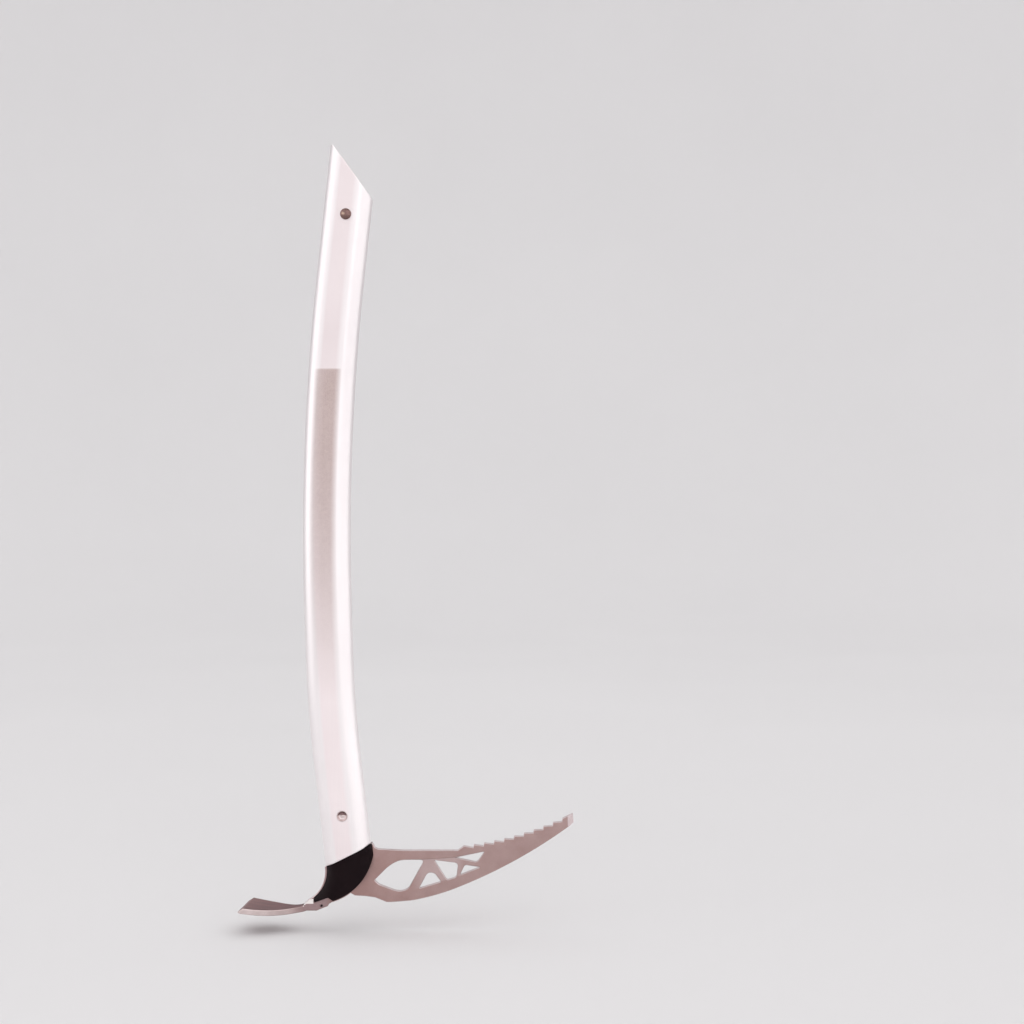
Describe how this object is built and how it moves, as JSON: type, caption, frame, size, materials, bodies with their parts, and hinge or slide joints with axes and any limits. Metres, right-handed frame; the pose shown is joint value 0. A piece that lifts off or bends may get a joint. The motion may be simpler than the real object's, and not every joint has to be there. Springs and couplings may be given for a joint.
{
  "type": "ice axe",
  "caption": "Short ice axe with a curved aluminium shaft cut to a spike, a cut-out steel head with a toothed drooping pick, and a small bent adze.",
  "frame": {"origin": "middle of the eye in the head, halfway through the head plate", "axes": "+Z from the head towards the spike, +X towards the pick, +Y through the head plate from its front face to its back face"},
  "size_m": [0.2075, 0.0327, 0.4789],
  "materials": {
    "shaft": "satin anodised, sandblasted over the grip",
    "head": "fine blasted steel",
    "moulding": "matt black",
    "rivet": "turned",
    "dark_fastener": "dark bronze tone"
  },
  "bodies": {
    "root": {"shaft_tube": "shaft", "head_plate": "head", "adze_blade": "head", "head_insert_front": "moulding", "head_insert_back": "moulding", "insert_peg_upper": "dark_fastener", "insert_peg_lower": "dark_fastener", "adze_pin": "dark_fastener", "head_rivet": "rivet", "head_rivet_collar": "rivet", "head_rivet_sleeve": "dark_fastener", "spike_plug": "moulding", "spike_rivet": "dark_fastener", "spike_rivet_cap": "dark_fastener", "spike_rivet_sleeve": "dark_fastener"}
  },
  "joints": []
}
